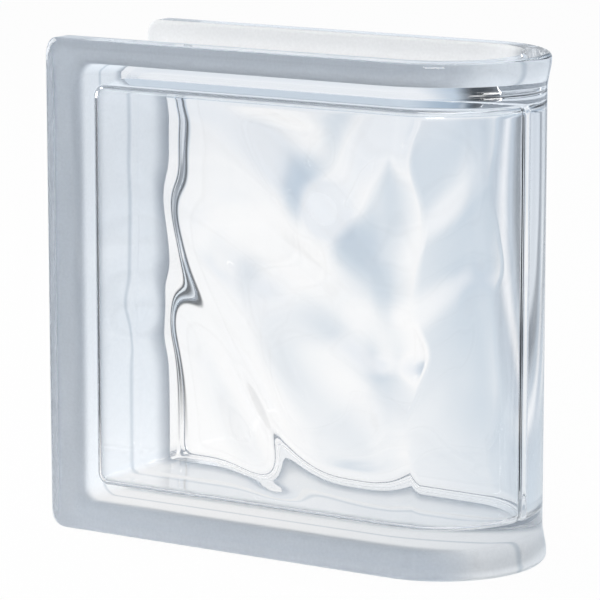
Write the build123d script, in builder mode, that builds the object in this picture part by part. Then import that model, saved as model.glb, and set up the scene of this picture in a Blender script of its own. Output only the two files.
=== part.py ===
"""Hollow glass end block for a glass-block wall, 190 x 190 x 80 mm.

Frame: millimetres, X to the right with the rounded finished end at +X, Y to the back, Z up.
The origin is under the middle of the block, which stands on the lips of its lower channel.
One pressed half shell is drawn once. The second half is the same pressing turned over, and the
two are fused on the mid-plane into one sealed body.
"""

import math
import os

from build123d import *
from build123d.topology import SkipClean

# Overall size
block_width = 190.0
block_height = 190.0
block_depth = 80.0

# Lips round the faces and the mortar channel between them
lip_thickness = 11.0
lip_overhang = 9.0
lip_corner = 5.0
wall_corner = 6.0
lip_front_bevel = 1.5
lip_back_bevel = 1.2
lip_root_slope = 4.0

# Face panel, set back inside a raised rim with a soft slope between them
rim_land = 4.0
face_recess = 1.5
cove_run = 8.0
cove_round = 18.0
panel_corner = 9.0

# Glass left round the sealed cavity, thinner at the rounded end, so that the wavy faces run out in an edge
face_glass = 8.0
end_glass = 7.0
wall_glass = 7.5
wall_draft_run = 1.5
cavity_corner = 6.0

# Ridge of glass squeezed out along the fused seam, inside the cavity
seam_ridge_width = 3.0
seam_ridge_rise = 0.8

# Wavy relief pressed into the inner side of each face, which dies out near the walls and sinks to a
# share of its height near the rounded end
swell_height = 2.0
still_margin = 3.6
wall_fade = 8.0
end_fade = 10.0
end_swell_share = 0.5
relief_step = 8.0

# Each swell: place along and up the face, length and width as shares of the block width,
# height as a share of the swell height, and the lean of its long axis in degrees
swell_shares = [
    (0.45, 0.28, 0.20, 0.05, 1.0, -59.0),
    (0.53, 0.33, 0.20, 0.055, -0.7, -59.0),
    (0.30, 0.48, 0.09, 0.05, 0.9, -45.0),
    (0.57, 0.53, 0.30, 0.055, 1.1, -32.0),
    (0.62, 0.65, 0.26, 0.06, -1.1, -40.0),
    (0.58, 0.80, 0.22, 0.06, 1.0, -44.0),
    (0.70, 0.32, 0.14, 0.06, 0.6, -50.0),
    (0.68, 0.42, 0.20, 0.055, -0.9, -42.0),
    (0.83, 0.44, 0.07, 0.045, 1.6, 0.0),
    (0.83, 0.69, 0.07, 0.06, 0.7, 0.0),
    (0.82, 0.82, 0.06, 0.06, -0.6, 0.0),
    (0.82, 0.27, 0.06, 0.07, -0.5, 0.0),
]

# How far a cutting shape runs on past the face it opens, and how close two places count as one
overrun = 2.0
match_gap = 0.01

# Sizes that follow from the ones above
half_depth = block_depth / 2
left_edge = -block_width / 2
end_axis_x = block_width / 2 - half_depth
panel_inset = rim_land + cove_run
cove_slope = math.degrees(math.atan(cove_run / face_recess))
wall_inset = lip_overhang + wall_glass
wall_draft = math.degrees(math.atan(wall_draft_run / half_depth))
still_inset = wall_inset + still_margin
inner_reach = half_depth - face_recess - face_glass
inner_radius = half_depth - face_recess - end_glass
end_inset = wall_inset + wall_draft_run * inner_radius / half_depth
ridge_inset = wall_inset - seam_ridge_rise
ridge_end = end_axis_x + inner_radius + seam_ridge_rise
turned_over = Location((0, 0, block_height), (180, 0, 0))
end_axis = Axis((end_axis_x, 0, 0), (0, 0, 1))


def outline(sketch, inset, corner, extra=0):
    """Front view of the square-ended part of the block, set in by inset, with two round corners."""
    width = end_axis_x + extra - left_edge - inset
    with Locations((left_edge + inset + width / 2, block_height / 2)):
        Rectangle(width, block_height - 2 * inset)
    fillet(sketch.vertices().group_by(Axis.X)[0], radius=corner)


def at_depth(depth):
    """Plane across the block at a depth behind the front of its rim, facing the front."""
    return Plane.XZ.offset(half_depth - depth)


def ease(run, length):
    """Smooth step from nothing to one as run goes from nothing to length."""
    share = min(max(run / length, 0), 1)
    return share * share * (3 - 2 * share)


def relief(along, up):
    """Height of the pressed waves, toward the cavity, at a place along and up the inner face."""
    height = 0
    for along_share, up_share, length_share, width_share, height_share, lean in swell_shares:
        run = along - left_edge - along_share * block_width
        rise = up - up_share * block_height
        turn = math.radians(lean)
        far = (run * math.cos(turn) + rise * math.sin(turn)) / (length_share * block_width)
        near = (rise * math.cos(turn) - run * math.sin(turn)) / (width_share * block_width)
        height += swell_height * height_share * math.exp(-(far**2) - near**2)
    height *= ease(up - still_inset, wall_fade) * ease(block_height - still_inset - up, wall_fade)
    height *= ease(along - left_edge - still_inset, wall_fade)
    return height * (end_swell_share + (1 - end_swell_share) * ease(end_axis_x - along, end_fade))


def relief_face():
    """Inner side of one face, wavy and a little larger than the hollow that it closes."""
    run = end_axis_x + inner_radius - left_edge
    run_steps = round(run / relief_step)
    up_steps = round(block_height / relief_step)
    rows = []
    for i in range(run_steps + 1):
        along = left_edge + run * i / run_steps
        row = []
        for j in range(up_steps + 1):
            up = block_height * j / up_steps
            row.append(Vector(along, relief(along, up) - inner_reach, up))
        rows.append(row)
    return Face.make_surface_from_array_of_points(rows)


def ring(part, depth, nearest, farthest):
    """Edges that run round a half at one depth, between two distances from the block's outline."""
    found = []
    for edge in part.edges():
        points = [edge.position_at(0), edge.position_at(0.5), edge.position_at(1)]
        reaches = [math.hypot(max(point.X - end_axis_x, 0), point.Y) for point in points]
        insets = [min(point.Z, block_height - point.Z, point.X - left_edge) for point in points]
        level = all(abs(half_depth - reach - depth) < match_gap for reach in reaches)
        if level and all(nearest - match_gap < inset < farthest + match_gap for inset in insets):
            found.append(edge)
    return found


# Soft-edged hollow that sets the face panel back from its rim, on the face and round the end
with BuildPart() as recess:
    with BuildSketch(at_depth(face_recess)) as panel_outline:
        outline(panel_outline, panel_inset, panel_corner, cove_run)
    extrude(amount=face_recess, taper=-cove_slope)
    split(bisect_by=Plane.YZ.offset(end_axis_x), keep=Keep.BOTTOM)
    with BuildSketch(Plane.YZ.offset(end_axis_x)):
        with BuildLine():
            Polyline(
                (-half_depth, rim_land),
                (face_recess - half_depth, panel_inset),
                (face_recess - half_depth, block_height - panel_inset),
                (-half_depth, block_height - rim_land),
                close=True,
            )
        make_face()
    revolve(axis=end_axis, revolution_arc=90)

# Hollow of one half, as the plunger of the press leaves it, with the wavy face cut across the rounded end
with BuildPart() as hollow:
    with BuildSketch(at_depth(half_depth)) as mouth:
        outline(mouth, wall_inset, cavity_corner, overrun)
    extrude(amount=half_depth, taper=wall_draft)
    split(bisect_by=Plane.YZ.offset(end_axis_x), keep=Keep.BOTTOM)
    with BuildSketch(Plane.YZ.offset(end_axis_x)):
        with BuildLine():
            Polyline(
                (0, wall_inset),
                (-inner_radius, end_inset),
                (-inner_radius, block_height - end_inset),
                (0, block_height - wall_inset),
                close=True,
            )
        make_face()
    revolve(axis=end_axis, revolution_arc=90)
    split(bisect_by=relief_face(), keep=Keep.BOTTOM)

# One pressed half: lip, side wall, and the quarter turn of the rounded end
with BuildPart() as half_shell:
    with BuildSketch(at_depth(0)) as lip_outline:
        outline(lip_outline, 0, lip_corner)
    extrude(amount=-lip_thickness)
    with BuildSketch(at_depth(lip_thickness)) as wall_outline:
        outline(wall_outline, lip_overhang, wall_corner)
    extrude(amount=lip_thickness - half_depth)
    with BuildSketch(Plane.YZ.offset(end_axis_x)):
        with BuildLine():
            Polyline(
                (0, lip_overhang),
                (lip_thickness - half_depth, lip_overhang),
                (lip_thickness - half_depth, 0),
                (-half_depth, 0),
                (-half_depth, block_height),
                (lip_thickness - half_depth, block_height),
                (lip_thickness - half_depth, block_height - lip_overhang),
                (0, block_height - lip_overhang),
                close=True,
            )
        make_face()
    revolve(axis=end_axis, revolution_arc=90)
    add(recess.part, mode=Mode.SUBTRACT)
    chamfer(ring(half_shell, 0, 0, rim_land / 2), length=lip_front_bevel)
    chamfer(ring(half_shell, lip_thickness, 0, lip_overhang / 2), length=lip_back_bevel)
    chamfer(ring(half_shell, lip_thickness, lip_overhang, lip_overhang + wall_corner), length=lip_root_slope)
    fillet(ring(half_shell, 0, rim_land, panel_inset), radius=cove_round)
    fillet(ring(half_shell, face_recess, panel_inset, panel_inset + panel_corner), radius=cove_round)

# Sealed cavity of the fused block: both hollows, less the ridge that the seam leaves all the way round
with BuildPart() as cavity:
    add(hollow.part)
    with SkipClean(), Locations(turned_over):
        add(hollow.part, clean=False)
    with BuildLine(Plane.XZ) as seam:
        Polyline(
            (0, ridge_inset),
            (ridge_end, ridge_inset),
            (ridge_end, block_height - ridge_inset),
            (left_edge + ridge_inset, block_height - ridge_inset),
            (left_edge + ridge_inset, ridge_inset),
            close=True,
        )
        fillet(seam.vertices().filter_by(lambda vertex: vertex.X != 0), radius=cavity_corner)
    with BuildSketch(Plane(seam.line @ 0, z_dir=seam.line % 0)):
        with BuildLine():
            Polyline(
                (seam_ridge_width, 0),
                (0, 2 * seam_ridge_rise),
                (-seam_ridge_width, 0),
                (0, -2 * seam_ridge_rise),
                close=True,
            )
        make_face()
    with SkipClean():
        sweep(mode=Mode.SUBTRACT, clean=False)

# The two halves fused, the back one turned over
with BuildPart() as glass_block:
    add(half_shell.part)
    with SkipClean(), Locations(turned_over):
        add(half_shell.part, clean=False)
    with SkipClean():
        add(cavity.part, mode=Mode.SUBTRACT, clean=False)

os.makedirs("parts", exist_ok=True)
glass_block.part.label = "glass_block"
export_step(glass_block.part, "parts/glass_block.step")
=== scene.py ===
"""Looks of the hollow glass end block: its clear, wavy glass, its matt channel coat and a studio.

Units are metres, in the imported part's own frame: X to the rounded end, Y to the back, Z up.
The glass is one closed mesh of two identical halves. Each half is drawn as lines that run round it
at a given inset from the block's outline and a given depth behind the front of its rim.
"""

import math

import bmesh
import bpy
from mathutils import Matrix, Vector


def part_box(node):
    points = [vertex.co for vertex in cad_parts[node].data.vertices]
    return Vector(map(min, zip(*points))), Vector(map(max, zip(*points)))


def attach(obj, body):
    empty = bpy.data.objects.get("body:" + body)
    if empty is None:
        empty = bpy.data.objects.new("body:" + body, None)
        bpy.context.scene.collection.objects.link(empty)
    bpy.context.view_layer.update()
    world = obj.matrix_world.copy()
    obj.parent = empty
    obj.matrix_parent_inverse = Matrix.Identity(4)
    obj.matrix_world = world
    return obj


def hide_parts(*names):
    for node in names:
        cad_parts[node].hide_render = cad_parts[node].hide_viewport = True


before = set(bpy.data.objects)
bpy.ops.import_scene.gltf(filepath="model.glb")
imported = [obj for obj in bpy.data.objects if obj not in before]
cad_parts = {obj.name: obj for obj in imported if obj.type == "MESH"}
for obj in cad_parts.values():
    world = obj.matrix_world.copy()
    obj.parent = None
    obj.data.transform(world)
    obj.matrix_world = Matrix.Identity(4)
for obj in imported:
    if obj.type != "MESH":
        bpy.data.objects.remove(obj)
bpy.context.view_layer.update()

# Overall size, from the frame
LOW, HIGH = (Vector(corner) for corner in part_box("glass_block"))
WIDTH, DEPTH, HEIGHT = HIGH - LOW
HALF_DEPTH = DEPTH / 2
END_AXIS = HIGH.x - HALF_DEPTH

# Lips and the mortar channel between them
LIP_THICKNESS = 0.011
LIP_OVERHANG = 0.009
LIP_CORNER = 0.005
WALL_CORNER = 0.006
LIP_FRONT_ROUND = 0.002
LIP_BACK_ROUND = 0.0016
LIP_ROOT_ROUND = 0.005

# Face panel and the soft slope round it
RIM_LAND = 0.004
FACE_RECESS = 0.0015
COVE_RUN = 0.008
COVE_ROUND = 0.018
PANEL_CORNER = 0.009
PANEL_INSET = RIM_LAND + COVE_RUN

# Cavity
FACE_GLASS = 0.008
END_GLASS = 0.007
WALL_GLASS = 0.0075
WALL_DRAFT_RUN = 0.0015
CAVITY_CORNER = 0.006
CAVITY_ROUND = 0.0033
STILL_MARGIN = 0.0036
WALL_INSET = LIP_OVERHANG + WALL_GLASS
STILL_INSET = WALL_INSET + STILL_MARGIN
INNER_DEPTH = FACE_RECESS + FACE_GLASS
INNER_REACH = HALF_DEPTH - INNER_DEPTH
END_RADIUS = HALF_DEPTH - FACE_RECESS - END_GLASS

# Soft ridge along the fused seam
RIDGE_REACH = 0.0024
RIDGE_RISE = 0.0008

# Pressed waves, as in the part's own source: place along and up, length and width as shares of the
# width, height as a share of the swell height, and the lean of the long axis in degrees
SWELL_HEIGHT = 0.002
WALL_FADE = 0.008
END_FADE = 0.010
END_SWELL_SHARE = 0.5
SWELL_SHARES = [
    (0.45, 0.28, 0.20, 0.05, 1.0, -59.0),
    (0.53, 0.33, 0.20, 0.055, -0.7, -59.0),
    (0.30, 0.48, 0.09, 0.05, 0.9, -45.0),
    (0.57, 0.53, 0.30, 0.055, 1.1, -32.0),
    (0.62, 0.65, 0.26, 0.06, -1.1, -40.0),
    (0.58, 0.80, 0.22, 0.06, 1.0, -44.0),
    (0.70, 0.32, 0.14, 0.06, 0.6, -50.0),
    (0.68, 0.42, 0.20, 0.055, -0.9, -42.0),
    (0.83, 0.44, 0.07, 0.045, 1.6, 0.0),
    (0.83, 0.69, 0.07, 0.06, 0.7, 0.0),
    (0.82, 0.82, 0.06, 0.06, -0.6, 0.0),
    (0.82, 0.27, 0.06, 0.07, -0.5, 0.0),
]

# Finer waves over those, in the same terms
RIPPLE_SHARES = [
    (0.30, 0.48, 0.09, 0.05, -0.5, -45.0),
    (0.25, 0.70, 0.10, 0.055, -0.15, -32.0),
    (0.20, 0.475, 0.05, 0.04, 0.5, 0.0),
    (0.185, 0.405, 0.045, 0.035, -0.4, 0.0),
]
WAVE_SHARES = SWELL_SHARES + RIPPLE_SHARES

# How finely the mesh is drawn, how often the end's wavy edge is refined, and how close points are welded
ARC_STEPS = 40
ARC_GRADE = 1.5
OUTER_STEPS = 24
INNER_STEPS = 96
CORNER_STEPS = 8
UP_STEPS = 120
ROUND_STEPS = 6
RIDGE_STEPS = 6
WALL_STEPS = 6
EDGE_TRIES = 8
WELD_GAP = 0.00001

# Material places on the glass piece
GLASS_SLOT = 0
COAT_SLOT = 1

# Plain white, for a colour that changes nothing
WHITE = (1.0, 1.0, 1.0, 1.0)

# Glass: its polish, how it bends light, the faint ripple of its skin and the colour of its body
GLASS_ROUGHNESS = 0.01
GLASS_IOR = 1.52
SKIN_SCALE = 30.0
SKIN_DETAIL = 2.0
SKIN_STRENGTH = 0.03
SKIN_DISTANCE = 0.001
BODY_COLOUR = (0.84, 0.86, 0.88, 1.0)
BODY_DENSITY = 2.0

# Coat: how much light it lets through in the channel and on the lips, how far from the mid-plane it builds
# up from one to the other, its darker shade over the fused seam, the painted shade on its glass side under
# the lips, and its sandy grain
COAT_THIN = 0.95
COAT_DENSE = 0.15
COAT_BUILD_START = 0.015
COAT_BUILD_END = 0.027
SEAM_SHADE = (0.75, 0.78, 0.81, 1.0)
LIP_PAINTED_SHADE = (0.80, 0.84, 0.89, 1.0)
GRAIN_SCALE = 900.0
GRAIN_DETAIL = 3.0
GRAIN_STRENGTH = 0.3
GRAIN_DISTANCE = 0.0003
GRAIN_SHADES = [
    (0.3, (0.90, 0.905, 0.91, 1.0)),
    (0.7, (0.95, 0.955, 0.96, 1.0)),
]

# Camera of the photograph
CAMERA_PLACE = Vector((0.710465, -1.160381, 0.349861))
CAMERA_TARGET = Vector((-0.004165, -0.003252, 0.091949))
CAMERA_LENS = 219.9
CAMERA_SENSOR = 36.0
CAMERA_ROLL = math.radians(-0.042)

# Soft square lamps: name, place, width and power, all turned to one point
LAMP_TARGET = Vector((0.0, 0.0, 0.1))
LAMPS = [
    ("key_light", (0.55, -1.3, 0.85), 0.6, 11.0),
    ("top_light", (0.0, 0.15, 1.2), 0.8, 2.5),
    ("left_light", (-1.4, -0.2, 0.5), 0.9, 15.0),
]

# Floor and air: the paper, the shares in which it glows for lit surfaces, for the camera and in the glass,
# and the plain light of the room
FLOOR_SIZE = 16.0
PAPER_COLOUR = (0.92, 0.92, 0.92, 1.0)
FLOOR_LIGHT = 0.25
FLOOR_GLOW = 0.97
FLOOR_GLOW_IN_GLASS = 0.95
ROOM_COLOUR = (0.96, 0.98, 1.0, 1.0)
ROOM_LIGHT = 0.30

# Strip of white light that runs back from the camera past the block and up the wall behind it: the point
# under its middle line from which angles on the floor are measured, the way square to that line, the sine
# of the angle to either side that counts as one, and the shades on the way there
STRIP_PLACE = (-0.364, 0.364, -0.6)
SIDE_AXIS = (0.853, 0.522, 0.0)
STRIP_REACH = 0.8
SIDE_SHADES = [
    (0.15, WHITE),
    (0.44, (0.62, 0.70, 0.78, 1.0)),
    (0.54, (0.57, 0.64, 0.72, 1.0)),
    (0.60, (0.95, 0.97, 1.0, 1.0)),
    (0.66, (0.55, 0.62, 0.70, 1.0)),
    (0.75, (0.25, 0.28, 0.32, 1.0)),
    (0.79, (0.25, 0.28, 0.32, 1.0)),
    (0.86, (0.75, 0.80, 0.86, 1.0)),
]

# Dark flag off to the left, which draws the edges of the glass: the way to it, the cosines of the angles to
# its edge and to its full depth, how far from the block it starts and is full on the floor, and its shade
# The flag is painted dark shade in the air and on the floor; no sheet stands there
FLAG_WAY = (-0.999, 0.035, 0.0)
FLAG_EDGE = 0.80
FLAG_FULL = 0.89
FLAG_NEAR = 0.18
FLAG_FAR = 0.30
FLAG_SHADE = (0.03, 0.035, 0.04, 1.0)

# How far from the block the floor starts and ends its fade to pale grey, and the shades of the walls by the
# sine of the angle above the floor, from that grey up to a white ceiling
# Painted shade: the floor, as the glass sees it, fades to this pale grey far from the block
FADE_START = 0.4
FADE_END = 1.6
FAR_COLOUR = (0.88, 0.91, 0.95, 1.0)
WALL_SHADES = [
    (0.00, FAR_COLOUR),
    (0.25, (0.62, 0.70, 0.79, 1.0)),
    (0.45, (0.62, 0.70, 0.79, 1.0)),
    (0.80, WHITE),
]


def ease(run, length):
    """Smooth step from nothing to one as run goes from nothing to length."""
    share = min(max(run / length, 0), 1)
    return share * share * (3 - 2 * share)


def relief(along, up):
    """Height of the pressed waves, toward the cavity, at a place along and up the inner face."""
    height = 0
    for along_share, up_share, length_share, width_share, height_share, lean in WAVE_SHARES:
        run = along - LOW.x - along_share * WIDTH
        rise = up - up_share * HEIGHT
        turn = math.radians(lean)
        far = (run * math.cos(turn) + rise * math.sin(turn)) / (length_share * WIDTH)
        near = (rise * math.cos(turn) - run * math.sin(turn)) / (width_share * WIDTH)
        height += SWELL_HEIGHT * height_share * math.exp(-(far**2) - near**2)
    height *= ease(up - STILL_INSET, WALL_FADE) * ease(HEIGHT - STILL_INSET - up, WALL_FADE)
    height *= ease(along - LOW.x - STILL_INSET, WALL_FADE)
    return height * (END_SWELL_SHARE + (1 - END_SWELL_SHARE) * ease(END_AXIS - along, END_FADE))


def end_turn(up):
    """Angle round the thinner end at which the wavy face runs out, at a place up the face."""
    turn = 0
    for _ in range(EDGE_TRIES):
        height = relief(END_AXIS + END_RADIUS * math.sin(turn), up)
        turn = math.acos(min((INNER_REACH - height) / END_RADIUS, 1))
    return turn


def ridge(y):
    """Height of the seam ridge at a distance from the mid-plane."""
    share = min(abs(y) / RIDGE_REACH, 1)
    return RIDGE_RISE * (1 + math.cos(math.pi * share)) / 2


def rounded(corners):
    """Line of (inset, depth, outline corner) through corners given with a rounding, drawn with arcs."""
    line = [corners[0][:3]]
    for before, here, after in zip(corners, corners[1:], corners[2:]):
        place = Vector(here[:3])
        back = Vector(before[:3]) - place
        ahead = Vector(after[:3]) - place
        flat_back = back.xy.normalized()
        flat_ahead = ahead.xy.normalized()
        half_angle = flat_back.angle(flat_ahead) / 2
        tangent = here[3] / math.tan(half_angle)
        start = place + back * (tangent / back.xy.length)
        end = place + ahead * (tangent / ahead.xy.length)
        centre = place.xy + (flat_back + flat_ahead).normalized() * (here[3] / math.sin(half_angle))
        sweep = (start.xy - centre).angle_signed(end.xy - centre)
        for step in range(ROUND_STEPS + 1):
            share = step / ROUND_STEPS
            point = centre + Matrix.Rotation(-sweep * share, 2) @ (start.xy - centre)
            line.append((point.x, point.y, start.z + (end.z - start.z) * share))
    line.append(corners[-1][:3])
    return line


def outer_line():
    """Profile of the outside: seam in the channel, lip, rim, soft slope and the edge of the panel."""
    return rounded([
        (LIP_OVERHANG, HALF_DEPTH, WALL_CORNER, 0),
        (LIP_OVERHANG, LIP_THICKNESS, WALL_CORNER, LIP_ROOT_ROUND),
        (0, LIP_THICKNESS, LIP_CORNER, LIP_BACK_ROUND),
        (0, 0, LIP_CORNER, LIP_FRONT_ROUND),
        (RIM_LAND, 0, PANEL_CORNER + COVE_RUN, COVE_ROUND),
        (PANEL_INSET, FACE_RECESS, PANEL_CORNER, COVE_ROUND),
        (PANEL_INSET + RIM_LAND, FACE_RECESS, PANEL_CORNER - RIM_LAND, 0),
    ])


def inner_line():
    """Profile of the cavity: seam ridge, side wall, its rounding and the still edge of the waves."""
    def wall(depth):
        """Inset, depth and corner of the drafted side wall at a depth."""
        draft = WALL_DRAFT_RUN * (HALF_DEPTH - depth) / HALF_DEPTH
        return (WALL_INSET + draft, depth, CAVITY_CORNER - draft)

    line = [wall(HALF_DEPTH - RIDGE_REACH * step / RIDGE_STEPS) for step in range(RIDGE_STEPS)]
    wall_run = HALF_DEPTH - RIDGE_REACH - INNER_DEPTH - CAVITY_ROUND
    for step in range(WALL_STEPS):
        line.append(wall(HALF_DEPTH - RIDGE_REACH - wall_run * step / WALL_STEPS))
    still_corner = CAVITY_CORNER - (STILL_INSET - WALL_INSET)
    return line + rounded([
        (*wall(INNER_DEPTH + CAVITY_ROUND * 2), 0),
        (*wall(INNER_DEPTH), CAVITY_ROUND),
        (STILL_INSET + WALL_DRAFT_RUN, INNER_DEPTH, still_corner, 0),
    ])[1:]


def arc_turn(step, edge_turn):
    """Angle of one step round the end, from the seam to the angle at which the face runs out."""
    return edge_turn + (math.pi / 2 - edge_turn) * (1 - (step / ARC_STEPS) ** ARC_GRADE)


def round_loop(inset, depth, corner, straight_steps, left_steps, inside):
    """Points round a half at one inset and depth, from the foot of the rounded end to its top."""
    reach = HALF_DEPTH - depth
    radius = reach * END_RADIUS / INNER_REACH if inside else reach
    edge_turn = math.acos(INNER_REACH / END_RADIUS) if inside else 0
    lower = []
    for step in range(ARC_STEPS + 1):
        turn = arc_turn(step, edge_turn)
        y = -radius * math.cos(turn)
        rise = ridge(y) if inside else 0
        push = rise * ease(radius - END_RADIUS + CAVITY_ROUND, CAVITY_ROUND)
        lower.append(Vector((END_AXIS + (radius - push) * math.sin(turn), y, LOW.z + inset + rise)))
    edge_x = lower[-1].x
    inset += ridge(reach) if inside else 0
    corner_x = LOW.x + inset + corner
    for step in range(1, straight_steps + 1):
        x = edge_x + (corner_x - edge_x) * step / straight_steps
        lower.append(Vector((x, -reach, LOW.z + inset)))
    for step in range(1, CORNER_STEPS + 1):
        turn = math.pi / 2 * step / CORNER_STEPS
        x = corner_x - corner * math.sin(turn)
        lower.append(Vector((x, -reach, LOW.z + inset + corner * (1 - math.cos(turn)))))
    upper = [Vector((point.x, point.y, LOW.z + HIGH.z - point.z)) for point in reversed(lower)]
    left = [lower[-1].lerp(upper[0], step / left_steps) for step in range(1, left_steps)]
    return lower + left + upper


def bridge(mesh, loops, slots, turned):
    """Faces between each line and the next, each strip in its material slot."""
    for near, far, slot in zip(loops, loops[1:], slots):
        for here, ahead, far_here, far_ahead in zip(near, near[1:], far, far[1:]):
            corners = (here, ahead, far_ahead, far_here)
            face = mesh.faces.new(corners[::-1] if turned else corners)
            face.material_index = slot


def outer_shell(mesh):
    """Outside of one half, with the matt coat from the seam to the back of the lip."""
    line = outer_line()
    loops = []
    for inset, depth, corner in line:
        points = round_loop(inset, depth, corner, OUTER_STEPS, 1, False)
        loops.append([mesh.verts.new(point) for point in points])
    slots = [COAT_SLOT if depth >= LIP_THICKNESS - LIP_BACK_ROUND else GLASS_SLOT for _, depth, _ in line]
    bridge(mesh, loops, slots, True)
    edge = loops[-1]
    half = len(edge) // 2
    for step in range(half - 1):
        mesh.faces.new((edge[-1 - step], edge[-2 - step], edge[step + 1], edge[step]))


def inner_shell(mesh):
    """Cavity side of one half: the walls, and the wavy face drawn as an even net."""
    loops = []
    for inset, depth, corner in inner_line():
        points = round_loop(inset, depth, corner, INNER_STEPS, UP_STEPS, True)
        loops.append([mesh.verts.new(point) for point in points])
    bridge(mesh, loops, [GLASS_SLOT] * len(loops), False)
    edge = loops[-1]
    columns = ARC_STEPS + INNER_STEPS + CORNER_STEPS
    left_x = edge[columns].co.x
    net = []
    for column in range(columns + 1):
        foot = edge[column]
        head = edge[-1 - column]
        along_share = (foot.co.x - left_x) / (edge[ARC_STEPS].co.x - left_x)
        row = [foot]
        for step in range(1, UP_STEPS):
            up = foot.co.z + (head.co.z - foot.co.z) * step / UP_STEPS
            edge_turn = end_turn(up - LOW.z)
            if column <= ARC_STEPS:
                turn = arc_turn(column, edge_turn)
                y = -END_RADIUS * math.cos(turn)
                x = END_AXIS + (END_RADIUS - ridge(y)) * math.sin(turn)
            else:
                edge_x = END_AXIS + END_RADIUS * math.sin(edge_turn)
                x = left_x + along_share * (edge_x - left_x)
                y = relief(x, up - LOW.z) - INNER_REACH
            row.append(mesh.verts.new((x, y, up)))
        net.append(row + [head])
    net[-1] = edge[columns : columns + UP_STEPS + 1]
    bridge(mesh, net, [GLASS_SLOT] * len(net), True)


def glass_mesh():
    """Both halves, the back one turned over, welded along the seam."""
    mesh = bmesh.new()
    outer_shell(mesh)
    inner_shell(mesh)
    turned_over = Matrix.Translation((0, 0, LOW.z + HIGH.z)) @ Matrix.Rotation(math.pi, 4, "X")
    copied = bmesh.ops.duplicate(mesh, geom=mesh.verts[:] + mesh.edges[:] + mesh.faces[:])
    back = [item for item in copied["geom"] if isinstance(item, bmesh.types.BMVert)]
    bmesh.ops.transform(mesh, matrix=turned_over, verts=back)
    bmesh.ops.remove_doubles(mesh, verts=mesh.verts, dist=WELD_GAP)
    for face in mesh.faces:
        face.smooth = True
    data = bpy.data.meshes.new("glass_block_body")
    mesh.to_mesh(data)
    mesh.free()
    return data


def new_material(name):
    """A node material with nothing in it yet, and its node tree."""
    material = bpy.data.materials.new(name)
    material.use_nodes = True
    material.node_tree.nodes.clear()
    return material, material.node_tree


def add(tree, kind, sockets=None, **settings):
    """A node with these settings, whose sockets take values or the outputs of other nodes."""
    node = tree.nodes.new(kind)
    for name, value in settings.items():
        setattr(node, name, value)
    for name, source in (sockets or {}).items():
        if isinstance(source, bpy.types.NodeSocket):
            tree.links.new(source, node.inputs[name])
        else:
            node.inputs[name].default_value = source
    return node


def calculated(tree, operation, *values):
    """Result of an operation on one or two numbers."""
    return add(tree, "ShaderNodeMath", dict(enumerate(values)), operation=operation).outputs["Value"]


def mixed(tree, first, second, share, blend_type="MIX"):
    """One colour mixed with another in some share."""
    sockets = {"Factor": share, "A": first, "B": second}
    return add(tree, "ShaderNodeMix", sockets, data_type="RGBA", blend_type=blend_type).outputs["Result"]


def multiplied(tree, first, second, share=1.0):
    """One colour times another, in some share."""
    return mixed(tree, first, second, share, "MULTIPLY")


def share_between(tree, value, start, end, interpolation="SMOOTHSTEP"):
    """Share that goes from nothing to one as a value goes from start to end."""
    sockets = {"Value": value, "From Min": start, "From Max": end}
    return add(tree, "ShaderNodeMapRange", sockets, interpolation_type=interpolation).outputs["Result"]


def ramped(tree, share, stops, interpolation="EASE"):
    """Colour from a ramp with these places and colours."""
    node = add(tree, "ShaderNodeValToRGB", {"Fac": share})
    ramp = node.color_ramp
    ramp.interpolation = interpolation
    while len(ramp.elements) < len(stops):
        ramp.elements.new(1.0)
    for element, (position, colour) in zip(ramp.elements, stops):
        element.position = position
        element.color = colour
    return node.outputs["Color"]


def toward(tree, vector, way):
    """Cosine of the angle between a vector and a way."""
    direction = add(tree, "ShaderNodeVectorMath", {0: vector}, operation="NORMALIZE").outputs["Vector"]
    cosine = add(tree, "ShaderNodeVectorMath", {0: direction, 1: way}, operation="DOT_PRODUCT")
    return cosine.outputs["Value"]


def noise(tree, place, scale, detail):
    """Soft random heights over a place."""
    sockets = {"Vector": place, "Scale": scale, "Detail": detail}
    return add(tree, "ShaderNodeTexNoise", sockets).outputs["Fac"]


def bumped(tree, height, strength, distance):
    """Surface normals that follow a height."""
    sockets = {"Height": height, "Strength": strength, "Distance": distance}
    return add(tree, "ShaderNodeBump", sockets).outputs["Normal"]


def shader_mix(tree, first, second, share):
    """One shader mixed with another in some share."""
    return add(tree, "ShaderNodeMixShader", {"Fac": share, 1: first, 2: second}).outputs["Shader"]


def glass_material():
    """Clear pressed glass, with a faint ripple on its skin and a pale blue-grey body."""
    material, tree = new_material("pressed_glass")
    place = add(tree, "ShaderNodeTexCoord").outputs["Object"]
    ripple = noise(tree, place, SKIN_SCALE, SKIN_DETAIL)
    shader = add(tree, "ShaderNodeBsdfPrincipled", {
        "Base Color": WHITE,
        "Transmission Weight": 1.0,
        "Roughness": GLASS_ROUGHNESS,
        "IOR": GLASS_IOR,
        "Normal": bumped(tree, ripple, SKIN_STRENGTH, SKIN_DISTANCE),
    })
    body = add(tree, "ShaderNodeVolumeAbsorption", {"Color": BODY_COLOUR, "Density": BODY_DENSITY})
    add(tree, "ShaderNodeOutputMaterial", {
        "Surface": shader.outputs["BSDF"],
        "Volume": body.outputs["Volume"],
    })
    return material


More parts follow.
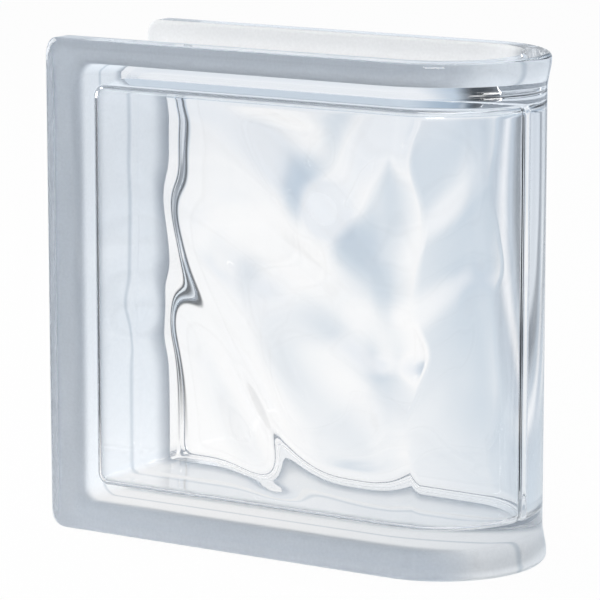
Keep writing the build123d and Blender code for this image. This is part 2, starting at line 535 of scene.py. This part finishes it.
def coat_material():
    """Thin matt coat that keys the mortar: sandy, dense on the lips, with painted shade on its glass side
    there.
    """
    material, tree = new_material("channel_coat")
    place = add(tree, "ShaderNodeTexCoord").outputs["Object"]
    depth = add(tree, "ShaderNodeSeparateXYZ", {"Vector": place}).outputs["Y"]
    from_seam = calculated(tree, "ABSOLUTE", depth)
    off_seam = share_between(tree, from_seam, 0.0, RIDGE_REACH)
    to_lip = share_between(tree, from_seam, COAT_BUILD_START, COAT_BUILD_END)
    thinness = add(tree, "ShaderNodeMix", {"Factor": to_lip, "A": COAT_THIN, "B": COAT_DENSE})
    glass_side = add(tree, "ShaderNodeNewGeometry").outputs["Backfacing"]
    # Painted shade: the coat's glass side under the lips is greyer, standing in for the shade of the
    # channel
    painted_shade_share = calculated(tree, "MULTIPLY", to_lip, glass_side)
    seam_shade = mixed(tree, SEAM_SHADE, WHITE, off_seam)
    lip_painted_shade = mixed(tree, WHITE, LIP_PAINTED_SHADE, painted_shade_share)
    grain = noise(tree, place, GRAIN_SCALE, GRAIN_DETAIL)
    sand = ramped(tree, grain, GRAIN_SHADES, "LINEAR")
    colour = multiplied(tree, sand, multiplied(tree, seam_shade, lip_painted_shade))
    skin = add(tree, "ShaderNodeBsdfDiffuse", {
        "Color": colour,
        "Normal": bumped(tree, grain, GRAIN_STRENGTH, GRAIN_DISTANCE),
    })
    glow = add(tree, "ShaderNodeBsdfTranslucent", {"Color": colour})
    coat = shader_mix(tree, skin.outputs["BSDF"], glow.outputs["BSDF"], thinness.outputs["Result"])
    add(tree, "ShaderNodeOutputMaterial", {"Surface": coat})
    return material


def glass_block():
    """The block itself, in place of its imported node."""
    piece = bpy.data.objects.new("glass_block_body", glass_mesh())
    bpy.context.scene.collection.objects.link(piece)
    piece.data.materials.append(glass_material())
    piece.data.materials.append(coat_material())
    normals = piece.modifiers.new("even_normals", "WEIGHTED_NORMAL")
    normals.keep_sharp = True
    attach(piece, "root")
    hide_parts("glass_block")


def seen_white(tree):
    """A value that is one for rays that the camera, a mirror or glass sends out."""
    path = add(tree, "ShaderNodeLightPath")
    total = path.outputs["Is Camera Ray"]
    for name in ("Is Glossy Ray", "Is Transmission Ray"):
        total = calculated(tree, "MAXIMUM", total, path.outputs[name])
    return total


def side_shades(tree, vector):
    """Colour that leaves white as a vector turns off to either side of the strip's line."""
    either_side = calculated(tree, "ABSOLUTE", toward(tree, vector, SIDE_AXIS))
    return ramped(tree, calculated(tree, "DIVIDE", either_side, STRIP_REACH), SIDE_SHADES)


def flag_shade(tree, vector):
    """Colour that is white, but painted dark where a vector points at the flag."""
    clear = share_between(tree, toward(tree, vector, FLAG_WAY), FLAG_FULL, FLAG_EDGE)
    return mixed(tree, FLAG_SHADE, WHITE, clear)


def floor_material():
    """Pale paper that keeps the block's soft shadow, and shows the glass painted light and shade: the
    strip, fade and flag.
    """
    material, tree = new_material("floor_paper")
    place = add(tree, "ShaderNodeTexCoord").outputs["Object"]
    to_camera = add(tree, "ShaderNodeLightPath").outputs["Is Camera Ray"]
    from_strip = add(tree, "ShaderNodeVectorMath", {0: place, 1: STRIP_PLACE}, operation="SUBTRACT")
    distance = add(tree, "ShaderNodeVectorMath", {0: place}, operation="LENGTH").outputs["Value"]
    fade = share_between(tree, distance, FADE_START, FADE_END)
    flag_reach = share_between(tree, distance, FLAG_NEAR, FLAG_FAR, "LINEAR")
    # Painted light and shade on the floor for rays from the glass: the white strip, grey to the sides,
    # paler grey far off
    shades = side_shades(tree, from_strip.outputs["Vector"])
    shades = multiplied(tree, shades, FAR_COLOUR, fade)
    # Painted dark shade of the flag on the floor
    shades = multiplied(tree, shades, flag_shade(tree, place), flag_reach)
    colour = mixed(tree, shades, WHITE, to_camera)
    glow = add(tree, "ShaderNodeEmission", {"Color": colour})
    paper = add(tree, "ShaderNodeBsdfDiffuse", {"Color": PAPER_COLOUR})
    seen_glow = add(tree, "ShaderNodeMix", {
        "Factor": to_camera,
        "A": FLOOR_GLOW_IN_GLASS,
        "B": FLOOR_GLOW,
    })
    share = add(tree, "ShaderNodeMix", {
        "Factor": seen_white(tree),
        "A": FLOOR_LIGHT,
        "B": seen_glow.outputs["Result"],
    })
    surface = shader_mix(tree, paper.outputs["BSDF"], glow.outputs["Emission"], share.outputs["Result"])
    add(tree, "ShaderNodeOutputMaterial", {"Surface": surface})
    return material


def floor():
    """The sheet of paper under the block."""
    bpy.ops.mesh.primitive_plane_add(size=FLOOR_SIZE, location=(0, 0, LOW.z))
    sheet = bpy.context.object
    sheet.name = "studio_floor"
    sheet.data.materials.append(floor_material())


def studio_world():
    """Pale walls behind the block, darker ones off to its side and a white ceiling, all softly lit."""
    world = bpy.data.worlds.new("studio")
    bpy.context.scene.world = world
    world.use_nodes = True
    tree = world.node_tree
    tree.nodes.clear()
    way = add(tree, "ShaderNodeTexCoord").outputs["Generated"]
    height = add(tree, "ShaderNodeSeparateXYZ", {"Vector": way}).outputs["Z"]
    walls = multiplied(tree, ramped(tree, height, WALL_SHADES), side_shades(tree, way))
    # Painted dark shade of the flag in the air
    walls = multiplied(tree, walls, flag_shade(tree, way))
    seen = add(tree, "ShaderNodeBackground", {"Color": walls})
    lit = add(tree, "ShaderNodeBackground", {"Color": ROOM_COLOUR, "Strength": ROOM_LIGHT})
    room = shader_mix(tree, lit.outputs["Background"], seen.outputs["Background"], seen_white(tree))
    add(tree, "ShaderNodeOutputWorld", {"Surface": room})


def lamp(name, place, width, power):
    """A soft light with a square front, which faces the block."""
    data = bpy.data.lights.new(name, "AREA")
    data.size = width
    data.energy = power
    light = bpy.data.objects.new(name, data)
    light.location = place
    light.rotation_euler = (LAMP_TARGET - Vector(place)).to_track_quat("-Z", "Y").to_euler()
    bpy.context.scene.collection.objects.link(light)


def camera():
    """The photograph's own view."""
    data = bpy.data.cameras.new("photo_camera")
    data.lens = CAMERA_LENS
    data.sensor_width = CAMERA_SENSOR
    eye = bpy.data.objects.new("photo_camera", data)
    eye.location = CAMERA_PLACE
    aim = (CAMERA_TARGET - CAMERA_PLACE).to_track_quat("-Z", "Y").to_matrix()
    eye.rotation_euler = (aim @ Matrix.Rotation(CAMERA_ROLL, 3, "Z")).to_euler()
    bpy.context.scene.collection.objects.link(eye)
    bpy.context.scene.camera = eye


glass_block()
floor()
studio_world()
for lamp_values in LAMPS:
    lamp(*lamp_values)
camera()
bpy.context.scene.view_settings.view_transform = "Standard"
